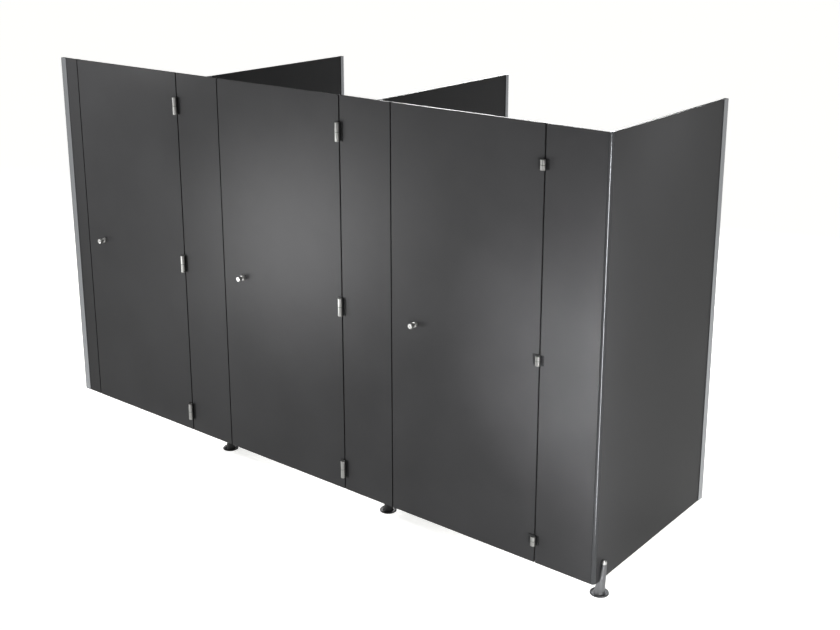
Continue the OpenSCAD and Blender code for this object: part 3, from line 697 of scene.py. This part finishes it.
class CUBICLE_OT_stage(bpy.types.Operator):
    """Lay the floor, hang the lights and place the camera."""

    bl_idname = "cubicle.stage"
    bl_label = "Set the stage"

    def execute(self, context):
        scene, settings = context.scene, context.scene.cubicle.stage
        scene.view_settings.view_transform = "Standard"
        self.floor(scene, settings)
        self.backdrop(scene, settings)
        self.surroundings(scene, settings)
        self.ceiling(scene, settings)
        # Name, power, place, the point that it looks at, width and height in metres, spread in
        # degrees, and whether the glossy surfaces mirror it
        for light in (
            ("middle_glow", settings.middle_power,
             (-1.74, -2.4, 0.67), (0.1, FRONT, 1.38), (1, 1), 110, True),
            ("door_2_spot", settings.spot_power,
             (-0.3, -2.4, 1.0), (0, FRONT, 1.25), (0.5, 0.5), 40, True),
            ("left_lamp", settings.left_power,
             (-1.75, FRONT - 0.7, 2), (-1.65, FRONT, 1.85), (0.3, 0.3), 180, True),
            ("right_lamp", settings.right_power,
             (1.8, FRONT - 1.5, 1.05), (1.6, FRONT, 1.05), (0.3, 0.3), 180, False),
            ("corner_spot", settings.corner_power,
             (1.715, FRONT - 1.5, 0.95), (1.6, FRONT, 1), (0.2, 0.2), 50, False),
            ("edge_light", settings.edge_power,
             (2.084, FRONT - 0.354, 0.95), (1.73, FRONT, 0.95), (0.05, 1.8), 90, True),
            ("side_spot", settings.side_power,
             (2.6, -0.1, 2.5), (1.73, 0, 1.9), (0.3, 0.3), 70, True),
            ("back_fill", settings.back_power,
             (-1.8, 4.2, 2.4), (-0.2, FRONT, 1), (2.4, 1.6), 180, True),
        ):
            self.soft_light(scene, *light)
        self.camera(scene, settings)
        return {"FINISHED"}

    @staticmethod
    def floor(scene, settings):
        """A flat floor, large enough to fill the picture, lit from below as a light table is."""
        half = 60.0
        corners = [(-half, -half, 0), (half, -half, 0), (half, half, 0), (-half, half, 0)]
        mesh = bpy.data.meshes.new("studio_floor")
        mesh.from_pydata(corners, [], [(0, 1, 2, 3)])
        mesh.materials.append(
            matt_studio_paint("matt_painted_floor", settings.floor_colour, settings.floor_glow))
        floor = bpy.data.objects.new("studio_floor", mesh)
        scene.collection.objects.link(floor)

    @staticmethod
    def backdrop(scene, settings):
        """A white wall far round the floor: a circle of 59 m carried straight up to 60 m.

        Only the camera sees it, so it closes the picture in low views and lights nothing.
        """
        radius, height, columns = 59.0, 60.0, 96
        angle = np.linspace(0, 2 * np.pi, columns, endpoint=False)
        ring = np.stack([radius * np.cos(angle), radius * np.sin(angle), 0 * angle], -1)
        here = np.arange(columns)
        beside = np.roll(here, -1)
        mesh = bpy.data.meshes.new("studio_backdrop")
        mesh.from_pydata(np.concatenate([ring, ring + (0, 0, height)]).tolist(), [],
                         np.stack([beside, here, here + columns, beside + columns], -1).tolist())
        mesh.materials.append(
            matt_studio_paint("matt_painted_backdrop", settings.floor_colour, settings.wall_glow))
        wall = bpy.data.objects.new("studio_backdrop", mesh)
        wall.visible_diffuse = wall.visible_glossy = False
        wall.visible_transmission = wall.visible_shadow = False
        scene.collection.objects.link(wall)

    @staticmethod
    def surroundings(scene, settings):
        """Even white surroundings that light the row softly from all sides."""
        world = bpy.data.worlds.new("white_studio")
        world.use_nodes = True
        back = world.node_tree.nodes["Background"]
        back.inputs["Color"].default_value = (1, 1, 1, 1)
        back.inputs["Strength"].default_value = settings.world_strength
        scene.world = world

    @staticmethod
    def ceiling(scene, settings):
        """A very wide light overhead that leans a little to the front and whitens the floor."""
        wide, lean, roll = (math.radians(angle) for angle in (50, 10, 1))
        lamp = bpy.data.lights.new("ceiling", "SUN")
        lamp.energy, lamp.angle = settings.ceiling_power, wide
        light = bpy.data.objects.new("ceiling", lamp)
        light.rotation_euler = (lean, roll, 0.0)
        scene.collection.objects.link(light)

    @staticmethod
    def soft_light(scene, name, power, place, target, size, spread, mirrored):
        """A rectangular soft light that looks at a point, unseen by the camera."""
        lamp = bpy.data.lights.new(name, "AREA")
        lamp.shape, lamp.energy, lamp.spread = "RECTANGLE", power, math.radians(spread)
        lamp.size, lamp.size_y = size
        light = bpy.data.objects.new(name, lamp)
        light.location = place
        light.rotation_euler = (Vector(target) - Vector(place)).to_track_quat("-Z", "Y").to_euler()
        light.visible_camera = False
        light.visible_glossy = mirrored
        scene.collection.objects.link(light)

    @staticmethod
    def camera(scene, settings):
        """A camera at the photograph's angle, turned left and tilted down, with a lens shift."""
        view = bpy.data.cameras.new("photo_view")
        view.sensor_fit, view.sensor_width = "HORIZONTAL", 36.0
        view.lens, view.shift_y = settings.lens, settings.rise
        view.clip_start, view.clip_end = 0.05, 200.0
        camera = bpy.data.objects.new("photo_view", view)
        camera.location = settings.camera_place
        camera.rotation_euler = (math.pi / 2 - settings.camera_tilt, 0.0, settings.camera_turn)
        scene.collection.objects.link(camera)
        scene.camera = camera


class CUBICLE_PT_panel(bpy.types.Panel):
    """Lists the steps of dressing the row and their settings."""

    bl_idname = "CUBICLE_PT_panel"
    bl_label = "Shower cubicles"
    bl_space_type = "VIEW_3D"
    bl_region_type = "UI"
    bl_category = "Cubicles"

    def draw(self, context):
        settings = context.scene.cubicle
        for group, steps in (
            (settings.laminate, ("boards",)),
            (settings.metal, ("profiles", "small_parts")),
            (settings.fittings, ("knobs", "barrels", "feet", "turns")),
            (settings.stage, ("stage",)),
        ):
            section = self.layout.box()
            for key in group.__annotations__:
                section.prop(group, key)
            for step in steps:
                section.operator("cubicle." + step)


CLASSES = (
    LaminateSettings, MetalSettings, FittingSettings, StageSettings, CubicleSettings,
    CUBICLE_OT_boards, CUBICLE_OT_profiles, CUBICLE_OT_small_parts, CUBICLE_OT_knobs,
    CUBICLE_OT_barrels, CUBICLE_OT_feet, CUBICLE_OT_turns, CUBICLE_OT_stage, CUBICLE_PT_panel,
)


def register():
    """Registers the classes and hangs the settings on the scene."""
    for cls in CLASSES:
        bpy.utils.register_class(cls)
    bpy.types.Scene.cubicle = PointerProperty(type=CubicleSettings)


def unregister():
    """Takes the settings and the classes away again."""
    del bpy.types.Scene.cubicle
    for cls in reversed(CLASSES):
        bpy.utils.unregister_class(cls)


def main():
    """Dresses the row step by step."""
    register()
    bpy.ops.cubicle.boards()
    bpy.ops.cubicle.profiles()
    bpy.ops.cubicle.small_parts()
    bpy.ops.cubicle.knobs()
    bpy.ops.cubicle.barrels()
    bpy.ops.cubicle.feet()
    bpy.ops.cubicle.turns()
    bpy.ops.cubicle.stage()


if __name__ == "__main__":
    main()
